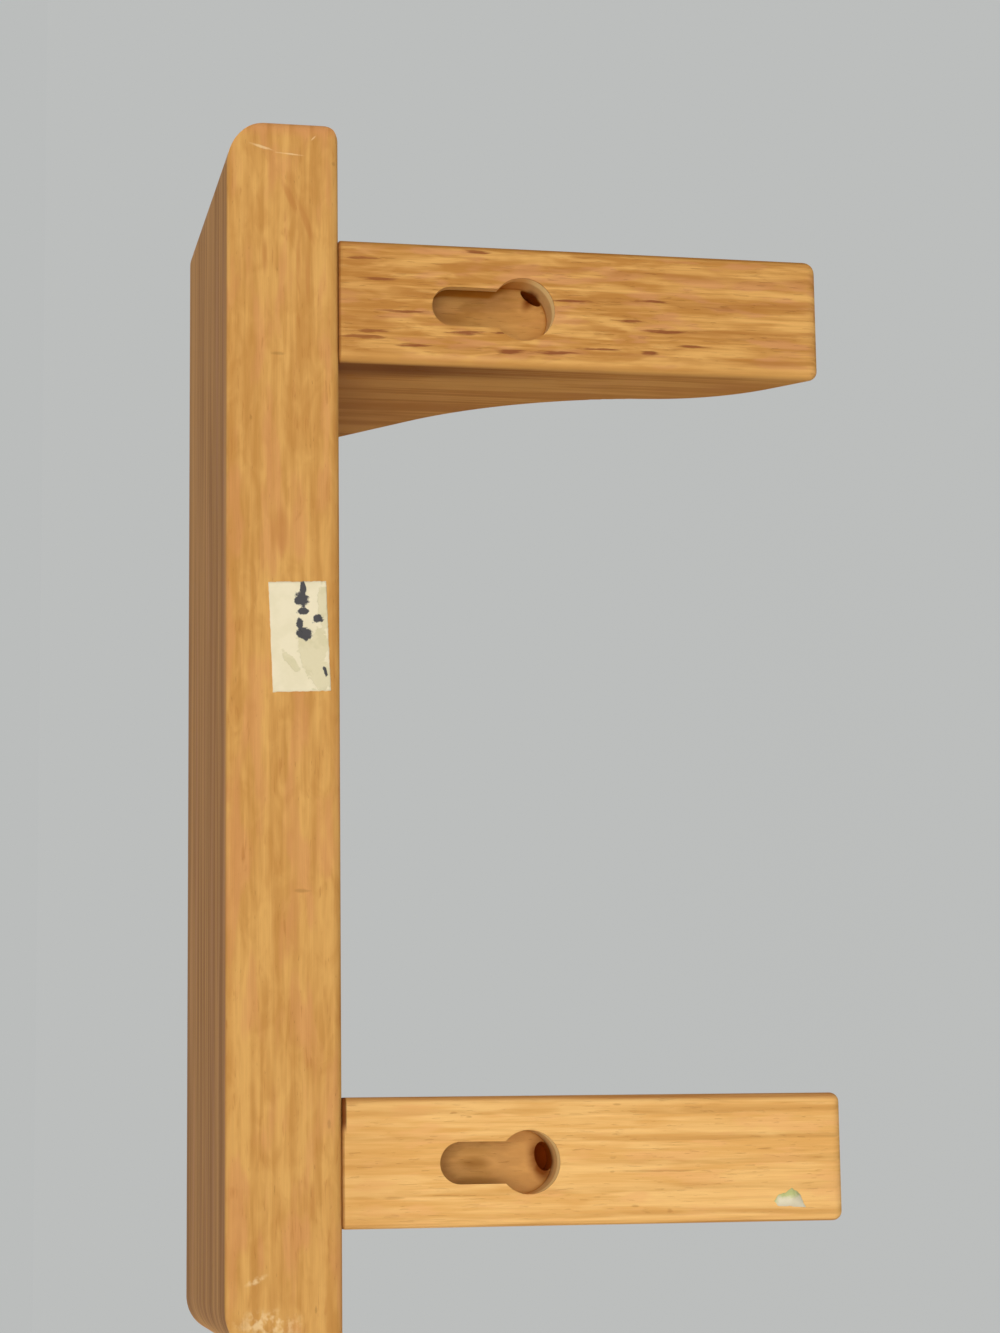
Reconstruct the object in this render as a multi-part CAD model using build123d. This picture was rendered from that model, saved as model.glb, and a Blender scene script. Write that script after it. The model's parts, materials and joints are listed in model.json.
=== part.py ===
from build123d import *
import os

# A small oak wall shelf: one board glued and dowelled on two corbel brackets, with a keyhole in the back
# of each bracket that hangs on a wall screw.
# Millimetres. X runs along the board, +Z is up, the wall is the plane Y = 0 and the shelf stands out to -Y.
# The origin is on the wall, midway between the two screws and level with them.

# Shelf board; its ends are rounded over at the top and less at the bottom
board_length = 185.5
board_depth = 63.5
board_thickness = 17.1
board_end_top_round = 6.9
board_end_low_round = 3.0
board_front_top_round = 6.0
board_edge_ease = 1.3
board_front_corner = 2.0
board_back_corner = 1.5

# Brackets; the height runs to the foot's corner before it is rounded
bracket_inset = 18.2
bracket_thickness = 19.05
bracket_height = 77.9
bracket_edge_ease = 1.4
nose_round = 2.0
foot_round = 1.6
left_outer_foot_round = 2.7
bracket_joint_ease = 0.45

# Front outline of a bracket, as depths from the wall, and drops below the board or heights above the foot
front_setback = 6.4
nose_drop = 3.9
sweep_start_depth = 38.3
sweep_start_drop = 18.0
waist_depth = 18.1
waist_above_foot = 24.7
toe_depth = 8.1
toe_above_foot = 6.6

# Keyholes: an entry hole for the screw's head, a narrow slot above it and a wider channel behind its lip.
# An offset is how far a keyhole lies to the right of its bracket's middle.
left_entry_radius = 5.0
right_entry_radius = 4.7
left_keyhole_offset = 0.4
right_keyhole_offset = 0.2
slot_width = 6.2
lip_thickness = 1.7
channel_height = 4.8
screw_drop = 17.5
left_entry_drop = 28.7
right_entry_drop = 27.8

# Pits at the foot of each entry hole's wall, where the drill first went in
left_pit_width = 3.8
left_pit_reach = 1.3
left_pit_turn = 55.0
right_pit_width = 4.4
right_pit_reach = 2.45
right_pit_turn = 12.0
pit_depth = 4.0
pit_undercut = 0.3

# Dowels
dowel_diameter = 6.35
dowel_length = 24.0
dowel_in_board = 11.0
dowel_chamfer = 0.6
dowel_end_gap = 0.8
rear_dowel_depth = 15.0
dowel_pitch = 19.0

# Paper stuck on the back
label_width = 16.7
label_height = 8.75
label_tilt = 2.3
label_thickness = 0.12
label_left_of_middle = 12.7
label_above_underside = 6.2
scrap_width = 3.0
scrap_height = 5.0
scrap_tip_rise = 2.0
scrap_torn_corner = 0.8
scrap_thickness = 0.1
scrap_right_of_bracket = 6.0
scrap_above_foot = 7.8

bracket_spacing = board_length - 2 * bracket_inset - bracket_thickness
underside = screw_drop
bracket_foot = underside - bracket_height
bracket_root_depth = board_depth - front_setback
keyhole_depth = lip_thickness + channel_height
touching = 0.001


def eased_rectangle(width, height, corners):
    """A rectangle right and up from the origin; corners are its radii, anticlockwise from there."""
    points = [(0, 0), (width, 0), (width, height), (0, height)]
    outline = make_face(Polyline(*points, close=True))
    for point, radius in zip(points, corners):
        if radius > 0:
            corner = outline.vertices().sort_by_distance(Vector(*point))[0]
            outline = fillet(corner, radius)
    return outline


def board_blank():
    """The board with every edge rounded, as what three rounded outlines have in common."""
    low, high = board_end_low_round, board_end_top_round
    front, back = board_front_corner, board_back_corner
    ease = board_edge_ease
    seen_from_front = eased_rectangle(board_length, board_thickness, [low, low, high, high])
    seen_from_end = eased_rectangle(board_depth, board_thickness, [ease, ease, ease, board_front_top_round])
    seen_from_top = eased_rectangle(board_length, board_depth, [front, front, back, back])
    low_corner = Vector(-board_length / 2, -board_depth, underside)
    front_plane = Plane(low_corner, x_dir=(1, 0, 0), z_dir=(0, -1, 0))
    end_plane = Plane(low_corner, x_dir=(0, 1, 0), z_dir=(1, 0, 0))
    base_plane = Plane(low_corner, x_dir=(1, 0, 0), z_dir=(0, 0, 1))
    along_depth = extrude(front_plane * seen_from_front, -board_depth)
    along_length = extrude(end_plane * seen_from_end, board_length)
    along_height = extrude(base_plane * seen_from_top, board_thickness)
    return along_height & along_length & along_depth


def bracket_outline():
    """The side of a bracket in the plane X = 0: a short nose, a hollow sweep and a swelling foot."""
    back_top = (0, underside)
    nose_top = (-bracket_root_depth, underside)
    nose_foot = (-bracket_root_depth, underside - nose_drop)
    sweep_start = (-sweep_start_depth, underside - sweep_start_drop)
    waist = (-waist_depth, bracket_foot + waist_above_foot)
    toe = (-toe_depth, bracket_foot + toe_above_foot)
    foot = (0, bracket_foot)
    straight = Line(nose_foot, sweep_start)
    hollow = TangentArc(sweep_start, waist, tangent=straight % 1)
    swell = TangentArc(waist, toe, tangent=hollow % 1)
    square = [Line(toe, foot), Line(foot, back_top), Line(back_top, nose_top), Line(nose_top, nose_foot)]
    side = make_face(Curve() + square + [straight, hollow, swell])
    for point, radius in ((nose_foot, nose_round), (foot, foot_round)):
        corner = side.vertices().sort_by_distance(Vector(*point))[0]
        side = fillet(corner, radius)
    return Plane.YZ * side


def bracket_blank(outer_foot_round):
    """A bracket about X = 0 with its edges eased, before its holes are cut; its outer side is at -X."""
    blank = extrude(bracket_outline(), bracket_thickness / 2, both=True)
    sides = blank.faces().filter_by(Axis.X).edges()
    below_joint = [edge for edge in sides if edge.center().Z < underside - touching]
    blank = fillet(below_joint, bracket_edge_ease)
    joint_edges = blank.faces().sort_by(Axis.Z)[-1].edges()
    blank = fillet(joint_edges, bracket_joint_ease)
    foot = blank.bounding_box().min.Z
    seen_from_front = eased_rectangle(bracket_thickness, underside - foot, [outer_foot_round, 0, 0, 0])
    front = Plane((-bracket_thickness / 2, -board_depth, foot), x_dir=(1, 0, 0), z_dir=(0, -1, 0))
    return blank & extrude(front * seen_from_front, -board_depth)


def upright_slot(radius, low, high, near, far):
    """A round-ended slot about X = 0 from height low to high, cut from depth near to depth far."""
    start = Plane((0, -near, 0), x_dir=(1, 0, 0), z_dir=(0, -1, 0))
    outline = Pos(0, (low + high) / 2) * Rectangle(2 * radius, high - low)
    for end in (low, high):
        outline += Pos(0, end) * Circle(radius)
    return extrude(start * outline, far - near)


def keyhole(entry_drop, entry_radius, pit_width, pit_reach, pit_turn):
    """What is cut away about X = 0: the entry hole, the slot, the channel and the pit."""
    entry_height = underside - entry_drop
    back = Plane((0, 0, 0), x_dir=(1, 0, 0), z_dir=(0, -1, 0))
    floor = Plane((0, -keyhole_depth, 0), x_dir=(1, 0, 0), z_dir=(0, -1, 0))
    entry = extrude(back * Pos(0, entry_height) * Circle(entry_radius), keyhole_depth)
    slot = upright_slot(slot_width / 2, entry_height, 0, 0, keyhole_depth)
    channel = upright_slot(entry_radius, entry_height, 0, lip_thickness, keyhole_depth)
    centre = -entry_radius + (pit_reach - pit_undercut) / 2
    oval = Ellipse(pit_width / 2, (pit_reach + pit_undercut) / 2)
    pit = extrude(floor * Pos(0, entry_height) * Rot(0, 0, -pit_turn) * Pos(0, centre) * oval, pit_depth)
    return entry + slot + channel + pit


def dowel_spots(x):
    """The rear and front dowel centres of the bracket at x."""
    return [(x, -rear_dowel_depth), (x, -rear_dowel_depth - dowel_pitch)]


def dowel_hole(x, y):
    """The drilled hole for one dowel, through the joint between board and bracket."""
    length = dowel_length + 2 * dowel_end_gap
    low = underside + dowel_in_board + dowel_end_gap - length
    return Pos(x, y, low + length / 2) * Cylinder(dowel_diameter / 2, length)


def dowel(x, y):
    """One dowel with chamfered ends."""
    middle = underside + dowel_in_board - dowel_length / 2
    pin = Pos(x, y, middle) * Cylinder(dowel_diameter / 2, dowel_length)
    return chamfer(pin.edges().filter_by(GeomType.CIRCLE), dowel_chamfer)


def shelf_board():
    board = board_blank()
    for x in (-bracket_spacing / 2, bracket_spacing / 2):
        for spot in dowel_spots(x):
            board -= dowel_hole(*spot)
    return board


def bracket(x, outer_foot_round, keyhole_offset, keyhole_sizes):
    """A bracket at x with its keyhole and dowel holes."""
    piece = bracket_blank(outer_foot_round) - Pos(keyhole_offset, 0, 0) * keyhole(*keyhole_sizes)
    piece = Pos(x, 0, 0) * piece
    for spot in dowel_spots(x):
        piece -= dowel_hole(*spot)
    return piece


def stuck_on_back(outline, thickness):
    """A thin piece of paper on the wall side of the shelf, its outline drawn as X and Z."""
    back = Plane((0, 0, 0), x_dir=(1, 0, 0), z_dir=(0, -1, 0))
    return extrude(back * outline, -thickness)


def paper_label():
    """A worn paper label on the board's back edge, stuck on a little out of level."""
    middle = Pos(-label_left_of_middle, underside + label_above_underside)
    outline = middle * Rot(0, 0, -label_tilt) * Rectangle(label_width, label_height)
    return stuck_on_back(outline, label_thickness)


def sticker_scrap():
    """The torn corner of a sticker, near the foot of the right bracket's back."""
    right = bracket_spacing / 2 + scrap_right_of_bracket + scrap_width / 2
    low = bracket_foot + scrap_above_foot
    high = low + scrap_height
    tip = (right - scrap_width, low + scrap_tip_rise)
    torn = [(right - scrap_torn_corner, high), (right, high - scrap_torn_corner)]
    return stuck_on_back(make_face(Polyline((right, low), tip, *torn, close=True)), scrap_thickness)


left_x = -bracket_spacing / 2
right_x = bracket_spacing / 2
left_keyhole = (left_entry_drop, left_entry_radius, left_pit_width, left_pit_reach, left_pit_turn)
right_keyhole = (right_entry_drop, right_entry_radius, right_pit_width, right_pit_reach, right_pit_turn)
pieces = {
    "shelf_board": shelf_board(),
    "bracket_left": bracket(left_x, left_outer_foot_round, left_keyhole_offset, left_keyhole),
    "bracket_right": bracket(right_x, 0, right_keyhole_offset, right_keyhole),
    "paper_label": paper_label(),
    "sticker_scrap": sticker_scrap(),
}
for side, x in (("left", left_x), ("right", right_x)):
    for place, spot in zip(("rear", "front"), dowel_spots(x)):
        pieces[f"bracket_{side}_dowel_{place}"] = dowel(*spot)

os.makedirs("parts", exist_ok=True)
for name, piece in pieces.items():
    export_step(piece, f"parts/{name}.step")
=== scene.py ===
import json
import math

import bmesh
import bpy
from mathutils import Matrix, Vector, noise


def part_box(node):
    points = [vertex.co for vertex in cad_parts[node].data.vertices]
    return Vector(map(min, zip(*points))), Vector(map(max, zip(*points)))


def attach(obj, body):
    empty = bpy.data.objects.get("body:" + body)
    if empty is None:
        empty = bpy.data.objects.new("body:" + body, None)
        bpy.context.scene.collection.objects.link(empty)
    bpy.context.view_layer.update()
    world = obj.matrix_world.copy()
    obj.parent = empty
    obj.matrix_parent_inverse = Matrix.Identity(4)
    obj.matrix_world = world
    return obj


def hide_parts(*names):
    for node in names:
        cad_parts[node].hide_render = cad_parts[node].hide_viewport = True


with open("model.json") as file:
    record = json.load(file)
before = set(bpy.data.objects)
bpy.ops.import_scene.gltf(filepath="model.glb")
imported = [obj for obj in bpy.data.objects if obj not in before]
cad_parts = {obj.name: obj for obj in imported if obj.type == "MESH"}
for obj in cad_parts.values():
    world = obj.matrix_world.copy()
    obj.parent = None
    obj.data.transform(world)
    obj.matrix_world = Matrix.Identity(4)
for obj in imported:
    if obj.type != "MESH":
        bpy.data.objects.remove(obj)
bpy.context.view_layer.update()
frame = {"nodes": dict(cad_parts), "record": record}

# A small oak wall shelf: one board on two corbel brackets, seen from behind with its left end at the top.
# Metres. X runs along the board, +Z is up, the wall is the plane Y = 0 and the shelf stands out to -Y.
# The finishes are laid out in millimetres.

mm = 0.001
per_mm = 1 / mm
nodes = frame["nodes"]
mounts = {mount["name"]: mount for mount in frame["record"]["mounts"]}
board_low, board_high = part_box("shelf_board")
underside = board_low.z / mm


class Value:
    """One output of a shader node. Python arithmetic on it adds Math nodes."""

    def __init__(self, shading, socket):
        self.shading = shading
        self.socket = socket

    def math(self, operation, *others):
        return self.shading.add("ShaderNodeMath", {"operation": operation}, [self, *others])

    def __add__(self, other):
        return self.math("ADD", other)

    def __radd__(self, other):
        return self.math("ADD", other)

    def __sub__(self, other):
        return self.math("SUBTRACT", other)

    def __rsub__(self, other):
        return self.shading.add("ShaderNodeMath", {"operation": "SUBTRACT"}, [other, self])

    def __mul__(self, other):
        return self.math("MULTIPLY", other)

    def __rmul__(self, other):
        return self.math("MULTIPLY", other)

    def __truediv__(self, other):
        return self.math("DIVIDE", other)

    def largest(self, other):
        return self.math("MAXIMUM", other)

    def smallest(self, other):
        return self.math("MINIMUM", other)

    def fraction(self):
        return self.math("FRACT")

    def rise(self, start, end):
        """0 up to start, 1 from end on, and smooth between them; start may be the larger one."""
        settings = {"interpolation_type": "SMOOTHSTEP"}
        inputs = [self, start, end, 0.0, 1.0] if start < end else [self, end, start, 1.0, 0.0]
        return self.shading.add("ShaderNodeMapRange", settings, inputs)


class Shading:
    """The shader nodes of a material or of the world."""

    def __init__(self, owner):
        owner.use_nodes = True
        self.tree = owner.node_tree
        self.tree.nodes.clear()

    def add(self, kind, settings=None, inputs=None, output=0):
        """A node of that kind: its settings first, then what its inputs hold or are linked to."""
        node = self.tree.nodes.new(kind)
        for name, setting in (settings or {}).items():
            setattr(node, name, setting)
        named = inputs.items() if isinstance(inputs, dict) else enumerate(inputs or [])
        for name, value in named:
            socket = node.inputs[name]
            if isinstance(value, Value):
                self.tree.links.new(value.socket, socket)
            elif value is not None:
                socket.default_value = value
        return Value(self, node.outputs[output]) if node.outputs else None

    def mix(self, factor, first, second):
        """Two colours mixed; a colour is three numbers or a Value."""
        factor_socket, first_socket, second_socket, mixed_socket = 0, 6, 7, 2
        colours = [one if isinstance(one, Value) else (*one, 1.0) for one in (first, second)]
        settings = {"data_type": "RGBA", "clamp_factor": True}
        inputs = {factor_socket: factor, first_socket: colours[0], second_socket: colours[1]}
        return self.add("ShaderNodeMix", settings, inputs, mixed_socket)

    def seen(self):
        """1 where a thing is seen, itself, mirrored or through glass, and 0 where it only gives light."""
        kinds = ("Camera", "Glossy", "Transmission")
        rays = [self.add("ShaderNodeLightPath", output=f"Is {kind} Ray") for kind in kinds]
        return rays[0].largest(rays[1]).largest(rays[2])


class Finish(Shading):
    """A material made of shader nodes. Its grain runs along X (0) or along Z (2)."""

    def __init__(self, name, grain=0):
        self.material = bpy.data.materials.new(name)
        super().__init__(self.material)
        self.grain = grain
        self.object_place = self.add("ShaderNodeTexCoord", output="Object")

    def place(self, scale=(per_mm, per_mm, per_mm), shift=(0.0, 0.0, 0.0)):
        """The object's own coordinates, by default in millimetres."""
        return self.add("ShaderNodeMapping", None, [self.object_place, shift, None, scale])

    def axis(self, number):
        """How far along X, Y or Z a point lies, in millimetres."""
        return self.add("ShaderNodeSeparateXYZ", None, [self.place()], number)

    def length(self, vector):
        """How long a vector is."""
        return self.add("ShaderNodeVectorMath", {"operation": "LENGTH"}, [vector], "Value")

    def drawn_out(self, length, width, seed, inwards=5.0):
        """Coordinates with one unit to length mm along the grain and width mm across the back.

        Inwards from the back a unit is inwards times as long as across it.
        """
        scale = [1 / (width * mm)] * 3
        scale[self.grain] = 1 / (length * mm)
        scale[1] = 1 / (inwards * width * mm)
        return self.place(tuple(scale), shift=(seed, 1.7 * seed, 2.3 * seed))

    def noise(self, vector, detail=3.0, roughness=0.5, distortion=0.0):
        """Smooth noise about 0.5, with a feature to each unit of the vector."""
        inputs = {"Vector": vector, "Scale": 1.0, "Detail": detail, "Roughness": roughness,
                  "Distortion": distortion}
        return self.add("ShaderNodeTexNoise", {"noise_dimensions": "3D"}, inputs, "Fac")

    def streaks(self, length, width, seed, detail=3.0, roughness=0.5, distortion=0.0, inwards=5.0):
        """Noise drawn out along the grain."""
        return self.noise(self.drawn_out(length, width, seed, inwards), detail, roughness, distortion)

    def specks(self, to_a_metre, detail, roughness, shift=(0.0, 0.0, 0.0)):
        """Noise with so many features to a metre along X, Y and Z."""
        return self.noise(self.place(to_a_metre, shift), detail, roughness)

    def spot(self, x, z, wide, high, lean=0.0, ragged=None, soft=0.5, inwards=2.0):
        """A soft-edged oval on the shelf's back, wide and high in mm and turned by lean degrees."""
        settings = {"vector_type": "TEXTURE"}
        size = (wide / 2 * mm, inwards * mm, high / 2 * mm)
        inputs = [self.object_place, (x * mm, 0.0, z * mm), (0.0, math.radians(lean), 0.0), size]
        distance = self.length(self.add("ShaderNodeMapping", settings, inputs))
        if ragged is not None:
            distance = distance + ragged
        return distance.rise(1.0 + soft / 2, 1.0 - soft / 2)

    def spots(self, ovals, ragged=None, soft=0.5, inwards=2.0):
        """The ovals together."""
        single = [self.spot(*oval, ragged=ragged, soft=soft, inwards=inwards) for oval in ovals]
        together = single[0]
        for one in single[1:]:
            together = together.largest(one)
        return together

    def bump(self, height, distance):
        """A normal from a height of 0 to 1 that stands for distance in millimetres."""
        return self.add("ShaderNodeBump", None, {"Height": height, "Distance": distance * mm})

    def surface(self, tone, roughness, normal=None, **others):
        """Ends the material in one principled shader."""
        inputs = {"Base Color": tone, "Roughness": roughness, **others}
        if normal is not None:
            inputs["Normal"] = normal
        shader = self.add("ShaderNodeBsdfPrincipled", None, inputs)
        self.add("ShaderNodeOutputMaterial", None, {"Surface": shader})
        return self.material


def colour(red, green, blue):
    """An sRGB colour, 0 to 255, as the linear numbers that a shader takes."""
    shares = [channel / 255 for channel in (red, green, blue)]
    return tuple(s / 12.92 if s <= 0.04045 else ((s + 0.055) / 1.055) ** 2.4 for s in shares)


def year_rings(finish, pith, spacing, wander):
    """Where a point lies in its year's growth, 0 to 1, in rings round a pith far outside the piece."""
    taper = 0.012
    shift = [0.0 if axis == finish.grain else -place for axis, place in enumerate(pith)]
    scale = [per_mm] * 3
    scale[finish.grain] = taper * per_mm
    radius = finish.length(finish.place(tuple(scale), tuple(shift)))
    radius = radius + wander * (finish.streaks(60.0, 8.0, 3.0, 2.0) - 0.5)
    radius = radius + 0.5 * (finish.streaks(9.0, 1.2, 4.0, 2.0) - 0.5)
    return (radius / spacing).fraction()


def early_wood(phase):
    """The porous spring wood: it starts sharply at a ring's beginning and fades out by its middle."""
    return phase.rise(0.0, 0.1).smallest(phase.rise(0.45, 0.12))


def lacquered_wood(finish, tone, pores, fibres, shine, dulled):
    """Satin lacquer over open grain: the pores are dimples, and a dulled place has lost its lacquer."""
    roughness = 0.5 + 0.1 * fibres + 0.15 * pores + 0.3 * dulled
    normal = finish.bump(0.35 * fibres - pores, 0.05)
    return finish.surface(tone, roughness, normal, **{"Specular IOR Level": shine})


def routed_recess(finish, tone, keyhole, pit_darkening, smudges, entry_painted_light):
    """The keyhole's recess: a dull floor with painted light, paler walls, painted shade under the lip and a
    darkened pit.

    Returns the tone, and 1 in the recess and 0 outside it.
    """
    entry = mounts[keyhole]
    x = entry["pos_m"][0] / mm
    entry_z = entry["pos_m"][2] / mm
    radius = entry["dims"]["r_mm"]
    floor_depth = entry["dims"]["length_mm"]
    pit_depth = floor_depth + pit_below_floor
    across, along = finish.axis(0) - x, finish.axis(2)
    beyond = (entry_z - along).largest(along).largest(0.0)
    reach = finish.length(finish.add("ShaderNodeCombineXYZ", None, [across, 0.0, beyond]))
    from_entry = finish.length(finish.add("ShaderNodeCombineXYZ", None, [across, 0.0, along - entry_z]))
    depth = finish.axis(1) * -1.0
    recess = reach.rise(radius + 0.8, radius + 0.6) * depth.rise(0.15, 0.35)
    recess = recess * depth.rise(pit_depth + 2.0, pit_depth + 1.5)
    fuzz = finish.streaks(5.0, 1.6, 26.0, 3.0, 0.5)
    floor = finish.mix(0.65, tone, recess_floor)
    floor = finish.mix(0.5 * fuzz.rise(0.45, 0.7), floor, recess_brown)
    # Painted light: the floor of the entry hole is made paler, as if more light reached it than the slot.
    floor = finish.mix(entry_painted_light * from_entry.rise(radius + 1.5, radius - 1.0), floor, recess_painted_light)
    # Painted light: the floor towards the slot's closed end is lightened against the shade there.
    floor = finish.mix(0.4 * along.rise(-4.0, 1.5), floor, recess_painted_light)
    wall = finish.mix(0.6, tone, recess_wall)
    # The entry wall's lower half, which faces up, is paler: partly bare routed wood, partly painted light.
    wall = finish.mix(along.rise(entry_z, entry_z - 3.0), wall, recess_pale_bare_and_lit)
    inside = finish.mix(depth.rise(floor_depth - 0.9, floor_depth - 0.2), wall, floor)
    # Painted shade: the floor under the lip, beyond the slot's edge, is darkened.
    under_lip_shade = reach.rise(slot_half, slot_half + 0.5) * from_entry.rise(radius - 0.6, radius + 0.6)
    under_lip_shade = under_lip_shade * depth.rise(lip_depth + 0.1, lip_depth + 0.9)
    inside = finish.mix(0.85 * under_lip_shade, inside, recess_painted_shade)
    smudge = finish.spots(smudges, 1.5 * (fuzz - 0.5), 1.4, inwards=right_through)
    smudge = smudge * depth.rise(floor_depth - 1.5, floor_depth - 0.1)
    inside = finish.mix(0.6 * smudge, inside, recess_brown)
    # A darker halo round the pit on the floor, and the pit darker still below the floor.
    halo = finish.spots(pit_darkening, 0.8 * (fuzz - 0.5), 1.3, inwards=right_through)
    halo = halo * depth.rise(floor_depth - 3.0, floor_depth - 0.1)
    inside = finish.mix(0.95 * halo, inside, pit_halo)
    inside = finish.mix(depth.rise(floor_depth + 0.05, floor_depth + 1.1), inside, pit_darkened)
    inside = finish.mix(depth.rise(pit_depth - 0.3, pit_depth - 0.05), inside, pit_bottom)
    return finish.mix(recess, tone, inside), recess


# The keyholes: half the slot's width, the lip's thickness and the pit's depth below the floor.
slot_half = 3.1
lip_depth = 1.7
pit_below_floor = 4.0
# How far in an oval reaches, in millimetres, when it marks every depth alike.
right_through = 500.0

board_light = colour(228, 175, 100)
board_middle = colour(215, 160, 88)
board_dark = colour(194, 136, 68)
board_pink = colour(216, 151, 94)
board_tick = colour(140, 88, 42)
board_figure = colour(186, 120, 62)
# The board's top face in painted shade: its streaked tones are darker than the back's, for the dim light it
# gets.
shaded_top_light = colour(183, 133, 76)
shaded_top_dark = colour(148, 99, 50)
shaded_top_pink = colour(188, 134, 98)
recess_floor = colour(192, 142, 76)
recess_brown = colour(156, 104, 46)
# Painted light on the keyhole's floor.
recess_painted_light = colour(232, 176, 106)
recess_wall = colour(240, 192, 118)
recess_pale_bare_and_lit = colour(255, 226, 160)
# Painted shade under the keyhole's lip.
recess_painted_shade = colour(172, 102, 18)
joint_dark = colour(104, 46, 10)
shaded_edge = colour(122, 66, 8)
shaded_side = colour(186, 122, 54)
pit_halo = colour(124, 60, 14)
pit_darkened = colour(170, 78, 10)
pit_bottom = colour(120, 46, 4)
scratch_pale = colour(246, 214, 160)
nick_brown = colour(104, 56, 22)


def board_finish():
    """Golden oak along the board: soft broken streaks, small ticks, a few scratches and scuffs, and painted
    shade on its top face.
    """
    finish = Finish("board_oak", grain=0)
    along, inwards, upwards = finish.axis(0), finish.axis(1) * -1.0, finish.axis(2)
    broad = finish.streaks(45.0, 4.0, 1.0, 2.0, 0.5)
    streak = finish.streaks(16.0, 1.2, 5.0, 2.5, 0.5, 0.4)
    mottle = finish.streaks(6.0, 2.2, 9.0, 2.5, 0.5, 0.8)
    tint = finish.streaks(14.0, 3.0, 11.0, 2.0)
    fibres = finish.streaks(8.0, 0.16, 13.0, 3.0, 0.6)
    figure = finish.streaks(5.0, 0.4, 15.0, 2.0, 0.5, 0.6).rise(0.6, 0.7)
    pores = finish.streaks(1.8, 0.24, 17.0, 2.0, 0.5, inwards=1.0).rise(0.68, 0.76)
    bands = early_wood(year_rings(finish, (0.0, -34.0, 130.0), 2.9, 2.6))
    tone = finish.mix((0.3 * broad + 0.4 * streak + 0.3 * mottle).rise(0.38, 0.62), board_dark, board_light)
    tone = finish.mix(0.3, tone, board_middle)
    tone = finish.mix(0.55 * tint.rise(0.5, 0.66), tone, board_pink)
    tone = finish.mix(0.25 * bands, tone, board_dark)
    tone = finish.mix(0.4 * figure * mottle.rise(0.52, 0.4), tone, board_figure)
    flat_streak = finish.streaks(70.0, 4.0, 50.0, 3.0, 0.55, inwards=0.4)
    flat_line = finish.streaks(24.0, 1.2, 54.0, 3.0, 0.5, inwards=0.4)
    flat_tone = finish.mix((0.6 * flat_streak + 0.4 * flat_line).rise(0.4, 0.6), board_dark, board_light)
    flat_tone = finish.mix(0.5 * bands * flat_line.rise(0.6, 0.42), flat_tone, board_figure)
    tone = finish.mix(0.85 * inwards.rise(0.5, 1.8), tone, flat_tone)
    tone = finish.mix(0.06 * fibres.rise(0.6, 0.4), tone, board_tick)
    tone = finish.mix(0.35 * pores * (0.35 + 0.65 * bands), tone, board_tick)
    worn = finish.specks((1400.0, 1400.0, 900.0), 3.0, 0.6)
    ragged = 0.9 * (worn - 0.5)
    scratches = finish.spots([(-88.5, 29.4, 0.35, 2.8, -15.0), (-87.6, 25.2, 0.2, 3.0, -4.0),
                              (-90.3, 21.4, 0.2, 0.9, 45.0)], 2.0 * ragged, 1.2)
    scuffs = finish.spots([(81.5, 30.2, 0.8, 2.6, 25.0), (87.8, 28.4, 3.4, 7.4)], ragged, 1.2)
    patchy = finish.specks((700.0, 700.0, 900.0), 2.0, 0.5, (3.0, 0.0, 5.0))
    scuffs = scuffs * patchy.rise(0.42, 0.62)
    nicks = finish.spots([(-86.4, 18.3, 0.6, 0.5), (-56.1, 26.9, 0.5, 1.7), (25.3, 23.4, 0.5, 2.1),
                          (59.3, 19.5, 1.2, 0.5), (85.8, 21.5, 0.9, 0.35)], 1.4 * ragged, 1.1)
    smears = finish.spots([(-70.7, 23.8, 7.0, 0.7), (-71.1, 28.9, 5.0, 0.7), (-68.0, 22.3, 6.0, 0.6),
                           (-81.0, 25.2, 5.0, 0.9, 25.0), (-77.0, 22.6, 6.0, 0.8, 20.0),
                           (19.9, 32.1, 2.4, 0.5), (-28.8, 26.6, 6.0, 2.4), (70.0, 22.0, 5.0, 0.7)],
                          1.2 * (streak - 0.5), 1.2)
    tone = finish.mix(0.6 * scratches, tone, scratch_pale)
    tone = finish.mix(0.65 * scuffs, tone, scratch_pale)
    tone = finish.mix(0.5 * smears, tone, board_figure)
    tone = finish.mix(0.25 * nicks, tone, nick_brown)
    left, right, top = board_low.x / mm, board_high.x / mm, board_high.z / mm
    end_faces = along.rise(left + 3.0, left + 0.8).largest(along.rise(right - 3.0, right - 0.8))
    grain_ends = finish.specks((150.0, 2800.0, 2800.0), 2.0, 0.5).rise(0.56, 0.68)
    end_tone = finish.mix(0.6 * bands.largest(0.6 * grain_ends), board_pink, board_figure)
    tone = finish.mix(0.7 * end_faces, tone, end_tone)
    # Painted shade: the top face takes the darker top tones over its own streaks.
    shaded_upper_face = upwards.rise(top - 3.0, top) * inwards.rise(0.6, 2.0)
    wide_streak = finish.streaks(130.0, 14.0, 58.0, 3.0, 0.55, inwards=0.4)
    blush = finish.streaks(90.0, 10.0, 62.0, 2.0, inwards=0.4).rise(0.54, 0.66)
    top_streaks = 0.5 * wide_streak + 0.3 * flat_streak + 0.2 * flat_line
    shaded_top_tone = finish.mix(top_streaks.rise(0.42, 0.58), shaded_top_dark, shaded_top_light)
    tone = finish.mix(0.9 * shaded_upper_face, tone, finish.mix(0.4 * blush, shaded_top_tone, shaded_top_pink))
    return lacquered_wood(finish, tone, pores, fibres, 0.03, scuffs.largest(scratches))


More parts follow.
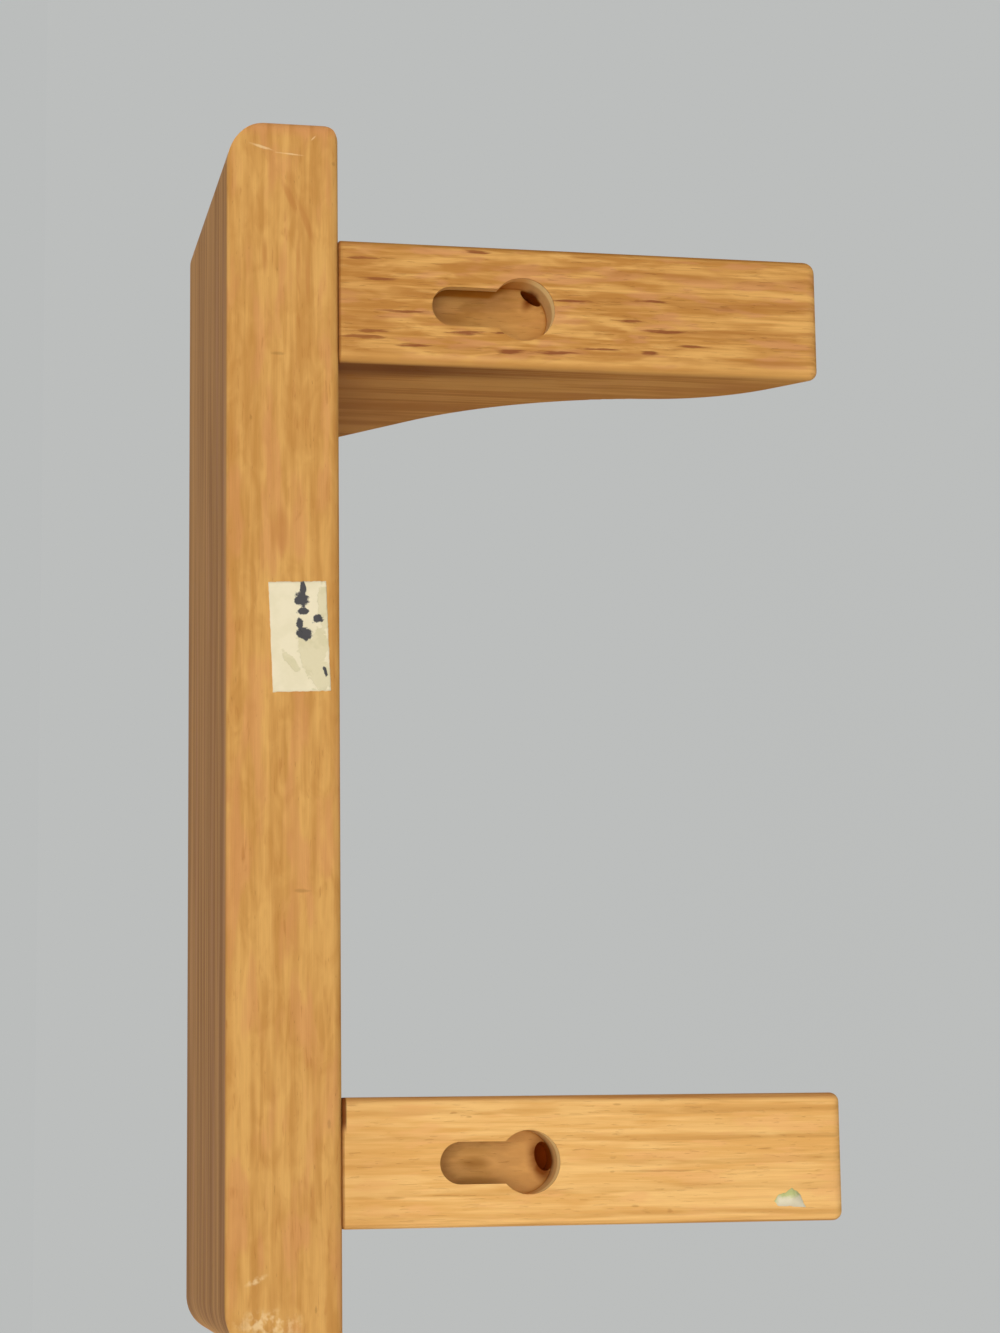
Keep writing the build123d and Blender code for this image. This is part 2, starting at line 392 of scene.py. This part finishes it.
def bracket_finish(name, keyhole, palette, figure, placed_flecks, recess_marks, glue):
    """Upright oak: year bands, short lenses, reddish flecks and pores, and bare wood in the keyhole, with
    painted shade near the joint and along the edges.
    """
    light, middle, dark, pink, band, fleck, edge = palette
    pith, spacing, wander, banding, dashes, flecking, near_edge_contrast, lens_size = figure
    finish = Finish(name, grain=2)
    across, inwards, upwards = finish.axis(0), finish.axis(1) * -1.0, finish.axis(2)
    broad = finish.streaks(40.0, 2.6, 2.0, 3.0, 0.55)
    lens = finish.streaks(*lens_size, 6.0, 2.5, 0.5, 0.5)
    long_streak = finish.streaks(26.0, 1.7, 34.0, 2.5, 0.5, 0.3)
    lens = lens + 0.6 * upwards.rise(-24.0, -42.0) * (long_streak - lens)
    tint = finish.streaks(8.0, 1.8, 12.0, 2.0)
    fibres = finish.streaks(6.0, 0.14, 14.0, 3.0, 0.6)
    dash = finish.streaks(4.0, 0.5, 21.0, 2.0, 0.5, 0.5)
    pores = finish.streaks(2.6, 0.22, 18.0, 2.0, 0.5).rise(0.65, 0.74)
    bands = early_wood(year_rings(finish, pith, spacing, wander))
    thread = finish.streaks(14.0, 0.5, 16.0, 2.5, 0.5, 0.3)
    line = finish.streaks(9.0, 0.32, 24.0, 2.0, 0.5, 0.4).rise(0.56, 0.68)
    tone = finish.mix((0.3 * broad + 0.45 * lens + 0.25 * thread).rise(0.4, 0.6), dark, light)
    tone = finish.mix(0.2, tone, middle)
    tone = finish.mix(0.25 * line * broad.rise(0.6, 0.45), tone, band)
    tone = finish.mix(0.6 * tint.rise(0.52, 0.66), tone, pink)
    steadier = 0.75 + 0.5 * upwards.rise(-18.0, -38.0)
    tone = finish.mix(banding * steadier * bands * (0.35 + 0.65 * lens.rise(0.62, 0.42)), tone, band)
    tone = finish.mix(dashes * dash.rise(0.62, 0.74) * broad.rise(0.58, 0.45), tone, fleck)
    tone = finish.mix(0.1 * fibres.rise(0.6, 0.4), tone, band)
    tone = finish.mix(0.5 * dashes * pores * (0.3 + 0.7 * bands), tone, fleck)
    ragged = 3.0 * (finish.streaks(3.2, 0.3, 30.0, 3.0, 0.6) - 0.5)
    tone = finish.mix(flecking * finish.spots(placed_flecks, ragged, 1.0), tone, fleck)
    low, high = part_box("bracket_" + keyhole.split("_")[1])
    left, right = low.x / mm, high.x / mm
    sides = across.rise(right - 1.2, right - 0.2).largest(across.rise(left + 1.2, left + 0.2))
    side_streak = finish.streaks(60.0, 0.9, 40.0, 3.0, 0.5)
    side_line = finish.streaks(30.0, 0.7, 44.0, 2.0, 0.5, inwards=1.2)
    side_tone = finish.mix((0.65 * side_streak + 0.35 * side_line).rise(0.42, 0.57), shaded_side, middle)
    toe = inwards.rise(1.0, 2.5) * upwards.rise(-44.0, -52.0)
    tone = finish.mix((0.45 * inwards.rise(8.0, 12.0)).largest(0.7 * toe), tone, middle)
    tone = finish.mix(0.75 * sides, tone, side_tone)
    far_edge_buildup_and_shade = across.rise(left + 0.9, left + 0.3)
    near_edge = across.rise(right - 2.0, right - 1.0) * inwards.rise(2.2, 1.0)
    under_edge = across.rise(right - 0.8, right - 0.1) * inwards.rise(1.2, 2.4) * inwards.rise(11.0, 5.0)
    shade_near_joint = upwards.rise(underside - 14.0, underside)
    glue_line = upwards.rise(underside - 0.4, underside - 0.15)
    dark_glue = upwards.rise(underside - 0.7, underside - 0.4) * across.rise(left + 5.5, left + 3.5)
    # The darker line along the left edge: partly lacquer build-up, partly painted shade on the eased edge.
    tone = finish.mix(0.5 * far_edge_buildup_and_shade, tone, edge)
    # The near edge is lightened and the side just beyond it gets painted shade, by the same strength.
    tone = finish.mix(near_edge_contrast * near_edge, tone, light)
    tone = finish.mix(2.6 * near_edge_contrast * under_edge * upwards.rise(-30.0, 12.0), tone, shaded_edge)
    # Painted shade: the back darkens over the last 14 mm towards the board.
    tone = finish.mix(0.3 * shade_near_joint, tone, band)
    tone = finish.mix(0.45 * glue_line, tone, joint_dark)
    tone = finish.mix(glue * dark_glue, tone, joint_dark)
    tone, recess = routed_recess(finish, tone, keyhole, *recess_marks)
    return lacquered_wood(finish, tone, pores, fibres, 0.02, recess)


# Reddish flecks on the brackets' backs, placed one by one: X, Z, width and height in millimetres.
left_flecks = [(-59.3, 13.9, 0.6, 6.5), (-60.2, 12.6, 0.6, 4.5), (-58.2, 5.9, 0.5, 5.0),
               (-60.5, -2.1, 0.6, 4.4), (-60.7, -7.5, 0.4, 2.0), (-63.5, 7.3, 0.4, 8.2),
               (-68.5, 11.4, 0.4, 5.7), (-57.8, -9.2, 0.6, 3.6), (-57.9, -16.3, 0.5, 5.7),
               (-73.5, -4.0, 0.6, 3.5), (-66.3, -18.7, 0.4, 6.0), (-71.7, 14.0, 0.45, 4.4),
               (-63.5, -27.9, 0.5, 3.7), (-58.5, -31.3, 0.6, 2.4), (-58.8, -23.7, 0.35, 6.2),
               (-62.0, -34.0, 0.6, 6.4), (-59.8, -38.3, 0.4, 4.4), (-66.8, -31.5, 0.4, 4.6)]
right_flecks = [(56.9, -23.7, 0.35, 1.1), (72.7, -31.5, 0.5, 0.8), (71.9, -26.2, 0.35, 1.0),
                (66.8, -29.8, 0.35, 10.0), (57.9, 1.0, 0.3, 0.9), (58.5, -1.3, 0.3, 0.8),
                (70.1, 10.4, 0.35, 3.2), (63.7, -46.6, 0.3, 2.0), (56.3, 16.4, 0.8, 2.2)]
# A bracket's palette: light, middle and dark oak, the pink tint, the year bands, the flecks and the
# darker line on its left edge, partly lacquer build-up and partly painted shade.
left_palette = (colour(236, 182, 106), colour(216, 158, 84), colour(186, 126, 60),
                colour(212, 148, 98), colour(180, 120, 58), colour(138, 76, 44), colour(146, 96, 32))
right_palette = (colour(252, 202, 128), colour(246, 190, 114), colour(230, 170, 94),
                 colour(244, 184, 116), colour(206, 148, 78), colour(176, 116, 58), colour(168, 100, 52))
# A bracket's figure: the pith's place, the years' spacing and how far they wander, how strong the bands,
# the dashes, the placed flecks and the lighter near edge with the painted shade beside it are, and the
# length and width of the lenses.
left_figure = ((-150.0, -80.0, 0.0), 3.2, 1.8, 0.6, 0.25, 0.85, 0.35, (8.0, 1.5))
right_figure = ((160.9, -60.0, 0.0), 3.3, 2.2, 0.52, 0.1, 0.4, 0.15, (14.0, 1.6))
# Where each pit's darkened halo and the slot's smudges spread on the recess floor (X, Z, width, height
# and lean), and how strongly painted light makes the floor of the entry hole paler than that of the slot.
left_pit = ([(-68.2, -13.8, 3.8, 1.8, -35.0)], [(-64.6, -1.0, 2.0, 5.0)], 0.15)
right_pit = ([(64.5, -13.7, 5.4, 3.8, 12.0), (66.4, -13.6, 3.4, 2.4, 30.0)],
             [(65.3, -3.2, 1.4, 4.0), (68.2, -3.2, 1.3, 8.0)], 0.5)
# How strongly the dark glue shows at the outer end of each joint.
left_glue = 0.1
right_glue = 0.9


beech_pale = colour(216, 178, 134)
beech_brown = colour(178, 128, 86)


def dowel_finish():
    """Plain beech with its fine short flecks."""
    finish = Finish("dowel_beech", grain=2)
    fleck = finish.streaks(1.2, 0.2, 4.0, 2.0).rise(0.58, 0.7)
    tone = finish.mix(0.5 * fleck, beech_pale, beech_brown)
    return finish.surface(tone, 0.65, finish.bump(fleck, 0.03))


def dress(name, material):
    """Gives a piece of the frame its finish."""
    for slot in nodes[name].material_slots:
        slot.material = material


dress("shelf_board", board_finish())
dress("bracket_left", bracket_finish("bracket_left_oak", "keyhole_left", left_palette, left_figure,
                                     left_flecks, left_pit, left_glue))
dress("bracket_right", bracket_finish("bracket_right_oak", "keyhole_right", right_palette, right_figure,
                                      right_flecks, right_pit, right_glue))
beech = dowel_finish()
for node_name in nodes:
    if "dowel" in node_name:
        dress(node_name, beech)


label_cream = colour(240, 226, 190)
label_dull = colour(219, 206, 162)
label_edge = colour(250, 242, 218)
label_ink = colour(48, 48, 58)
sticker_cream = colour(232, 220, 188)
sticker_green = colour(208, 210, 138)


def paper_finish():
    """A yellowed label: part of its top layer has torn off, and only worn specks of its ink are left."""
    finish = Finish("label_paper", grain=0)
    pulp = finish.specks((2500.0, 2500.0, 2500.0), 3.0, 0.6)
    stain = finish.specks((260.0, 260.0, 260.0), 3.0, 0.55)
    edge = finish.specks((900.0, 900.0, 900.0), 3.0, 0.6, (4.0, 0.0, 9.0))
    torn = finish.spots([(-9.6, 22.2, 7.4, 3.0, 20.0), (-11.5, 20.6, 5.0, 2.8),
                         (-6.6, 20.4, 4.4, 3.2, -10.0), (-17.5, 20.0, 7.0, 1.9),
                         (-8.9, 25.0, 3.6, 1.3, 40.0)], 1.5 * (edge - 0.5), 0.15)
    ink = finish.spots([(-20.0, 23.2, 2.2, 0.9), (-18.3, 23.4, 2.3, 2.2, 25.0),
                        (-16.5, 23.3, 1.0, 2.0, 10.0), (-14.7, 23.7, 1.9, 1.1),
                        (-13.2, 23.0, 1.8, 2.4, -25.0), (-15.4, 20.9, 1.2, 1.7, 25.0),
                        (-7.4, 19.8, 1.5, 0.7, 15.0)], 1.9 * (edge - 0.5), 0.25)
    tone = finish.mix(stain.rise(0.4, 0.62), label_cream, finish.mix(0.3, label_cream, label_dull))
    tone = finish.mix(0.5 * torn, tone, label_dull)
    tone = finish.mix(torn * (0.4 + 0.6 * stain.rise(0.46, 0.54)), tone, label_dull)
    tone = finish.mix(0.15 * pulp, tone, label_edge)
    tone = finish.mix(0.96 * ink, tone, label_ink)
    return finish.surface(tone, 0.75, finish.bump(0.4 * pulp - 0.6 * torn + 0.3 * ink, 0.06))


def sticker_finish():
    """A scrap of sticker, greener where its paper is thin over the glue."""
    finish = Finish("sticker_paper", grain=0)
    pulp = finish.specks((2500.0, 2500.0, 2500.0), 3.0, 0.6)
    thin = finish.spots([(70.2, -49.6, 1.6, 5.0), (71.0, -47.4, 2.2, 1.6)], 1.2 * (pulp - 0.5), 1.0)
    tone = finish.mix(thin, sticker_cream, sticker_green)
    return finish.surface(tone, 0.7, finish.bump(pulp, 0.05))


def to_object(mesh, name, material):
    """A finished bmesh as a piece of the shelf, its object at the origin."""
    bmesh.ops.recalc_face_normals(mesh, faces=mesh.faces)
    data = bpy.data.meshes.new(name)
    mesh.to_mesh(data)
    mesh.free()
    for polygon in data.polygons:
        polygon.use_smooth = True
    data.materials.append(material)
    piece = bpy.data.objects.new(name, data)
    bpy.context.scene.collection.objects.link(piece)
    return piece


def paper_sheet(corners, cuts, thickness, ragged, seed):
    """Thin paper on the wall plane inside the corners (X and Z in mm), a little wavy, with worn edges."""
    least_lift = 0.01 * mm
    waviness = 0.03 * mm
    mesh = bmesh.new()
    outline = [mesh.verts.new((x * mm, 0.0, z * mm)) for x, z in corners]
    mesh.faces.new(outline)
    middle = sum((vert.co for vert in outline), Vector()) / len(outline)
    bmesh.ops.subdivide_edges(mesh, edges=mesh.edges[:], cuts=cuts, use_grid_fill=True)
    bmesh.ops.triangulate(mesh, faces=[face for face in mesh.faces if len(face.verts) > 4])
    rim = {vert for edge in mesh.edges if edge.is_boundary for vert in edge.verts}
    for vert in rim:
        wear = noise.noise(vert.co * 1800 + Vector((seed, 0, 0))) - 0.3
        vert.co += (vert.co - middle).normalized() * min(wear, 0.0) * ragged * mm
    for vert in mesh.verts:
        lift = 0.5 + 0.5 * noise.noise(vert.co * 300 + Vector((0, 0, seed)))
        vert.co.y = least_lift + waviness * lift
    bmesh.ops.recalc_face_normals(mesh, faces=mesh.faces)
    if sum(face.normal.y for face in mesh.faces) < 0:
        bmesh.ops.reverse_faces(mesh, faces=mesh.faces)
    front = bmesh.ops.extrude_face_region(mesh, geom=mesh.faces[:])["geom"]
    raised = [item for item in front if isinstance(item, bmesh.types.BMVert)]
    bmesh.ops.translate(mesh, verts=raised, vec=(0, thickness * mm, 0))
    return mesh


def paper_label():
    """The label on the board's back edge, a little out of level."""
    label_width, label_height, label_lean = 16.7, 8.75, -2.3
    low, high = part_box("paper_label")
    middle_x, middle_z = (low.x + high.x) / 2 / mm, (low.z + high.z) / 2 / mm
    lean = math.radians(label_lean)
    corners = []
    for side, end in ((-1, -1), (1, -1), (1, 1), (-1, 1)):
        x, z = side * label_width / 2, end * label_height / 2
        corners.append((middle_x + x * math.cos(lean) - z * math.sin(lean),
                        middle_z + x * math.sin(lean) + z * math.cos(lean)))
    mesh = paper_sheet(corners, cuts=40, thickness=0.07, ragged=0.12, seed=3.0)
    return to_object(mesh, "label_sheet", paper_finish())


def sticker_scrap():
    """The torn scrap near the foot of the right bracket's back."""
    low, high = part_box("sticker_scrap")
    right, left = high.x / mm, low.x / mm
    foot, top = low.z / mm, high.z / mm
    corners = [(right, foot), (left + 0.9, foot + 0.9), (left, foot + 2.1), (left + 0.8, foot + 3.3),
               (left + 1.0, foot + 4.2), (right - 1.0, top), (right - 0.2, top - 0.7)]
    mesh = paper_sheet(corners, cuts=6, thickness=0.06, ragged=0.2, seed=8.0)
    return to_object(mesh, "sticker_piece", sticker_finish())


for sheet, node_name, slot_name in ((paper_label(), "paper_label", "label_paper"),
                                    (sticker_scrap(), "sticker_scrap", "sticker_paper")):
    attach(sheet, "root")
    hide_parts(node_name)


floor_reach = 6.0
floor_level = -0.22
floor_grey = colour(196, 198, 197)
sky_grey = colour(187, 189, 188)
sky_light = (0.47, 0.47, 0.47)


def floor_finish():
    """Pale paper. What is seen of it is partly lit evenly, so that it stays pale far from the lamps."""
    finish = Finish("studio_paper")
    tone = (*floor_grey, 1.0)
    paper = finish.add("ShaderNodeBsdfDiffuse", None, {"Color": tone})
    even = finish.add("ShaderNodeEmission", None, {"Color": tone, "Strength": 1.0})
    mixed = finish.add("ShaderNodeMixShader", None, [0.75 * finish.seen(), paper, even])
    finish.add("ShaderNodeOutputMaterial", None, {"Surface": mixed})
    return finish.material


def studio():
    """A wide pale floor well below the shelf; the sky beyond it is seen in much the same tone."""
    mesh = bmesh.new()
    bmesh.ops.create_grid(mesh, x_segments=1, y_segments=1, size=floor_reach)
    bmesh.ops.translate(mesh, verts=mesh.verts, vec=(0.0, 0.0, floor_level))
    floor = to_object(mesh, "studio_floor", floor_finish())


studio()


def sun(name, toward, strength, spread, tint=(1.0, 1.0, 1.0), mirrored=True):
    """Soft daylight that comes from the direction toward; mirrored says whether gloss shows it too."""
    light = bpy.data.lights.new(name, "SUN")
    light.energy = strength
    light.angle = math.radians(spread)
    light.color = tint
    lamp = bpy.data.objects.new(name, light)
    bpy.context.scene.collection.objects.link(lamp)
    lamp.matrix_world = Vector(toward).to_track_quat("Z", "Y").to_matrix().to_4x4()
    lamp.visible_glossy = mirrored


def sky():
    """Even light from all round; where it is seen, it is about as pale as the floor."""
    world = bpy.data.worlds.new("studio_sky")
    shading = Shading(world)
    tone = shading.mix(shading.seen(), sky_light, sky_grey)
    background = shading.add("ShaderNodeBackground", None, {"Color": tone})
    shading.add("ShaderNodeOutputWorld", None, {"Surface": background})
    bpy.context.scene.world = world


sun("key_light", (0.06, 1.0, 0.1), 2.42, 50.0)
sun("warm_fill", (1.0, 0.15, -0.1), 0.6, 60.0, (1.0, 0.72, 0.4))
sun("front_fill", (-0.15, -1.0, 0.02), 1.8, 40.0, mirrored=False)
sky()

# The camera stands behind the shelf, a little above it and towards its right end, turned on its side.
camera_place = Vector((0.060056, 0.432427, 0.082328))
camera_right = Vector((0.01252207, 0.19994394, -0.97972732))
camera_up = Vector((-0.98800156, 0.15331246, 0.01866036))
camera_back = camera_right.cross(camera_up)
focal_length = 79.82
film_width = 36.0
camera = bpy.data.objects.new("camera", bpy.data.cameras.new("camera"))
bpy.context.scene.collection.objects.link(camera)
camera.matrix_world = Matrix.Translation(camera_place) @ Matrix(
    (camera_right, camera_up, camera_back)).transposed().to_4x4()
camera.data.lens = focal_length
camera.data.sensor_width = film_width
bpy.context.scene.camera = camera

bpy.context.scene.view_settings.view_transform = "Standard"
